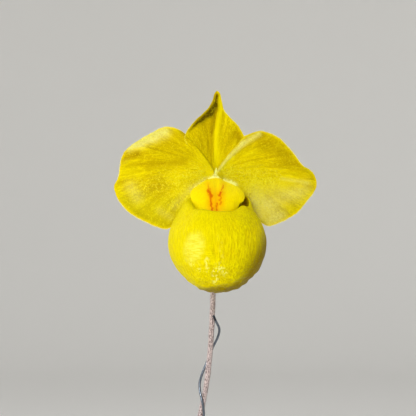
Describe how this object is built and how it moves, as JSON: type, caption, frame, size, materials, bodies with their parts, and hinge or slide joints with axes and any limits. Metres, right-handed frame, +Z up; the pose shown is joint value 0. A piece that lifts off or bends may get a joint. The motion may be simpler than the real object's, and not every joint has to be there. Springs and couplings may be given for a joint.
{
  "type": "slipper orchid in vase",
  "caption": "Yellow slipper orchid with a swollen pouch, on a hairy stem wound with thin wire, standing in a plain glazed bud vase of water.",
  "frame": {"origin": "centre of the vase's flat foot, on the surface that the vase stands on", "axes": "+Z up along the vase's axis, the bloom faces -Y, +X to the right of someone who looks at the bloom"},
  "size_m": [0.0921, 0.0809, 0.2698],
  "materials": {
    "glaze": "satin",
    "water": "polished",
    "stem": "matte",
    "wire": "satin",
    "bract": "matte",
    "ovary": "matte",
    "petal": "satin",
    "sepal": "satin",
    "pouch": "satin",
    "shield": "satin",
    "column": "satin"
  },
  "bodies": {
    "root": {"vase": "glaze", "water": "water", "scape": "stem", "support_wire": "wire", "bract": "bract", "ovary": "ovary", "petal_left": "petal", "petal_right": "petal", "dorsal_sepal": "sepal", "synsepal": "sepal", "lip": "pouch", "staminode": "shield", "column": "column"}
  },
  "joints": []
}
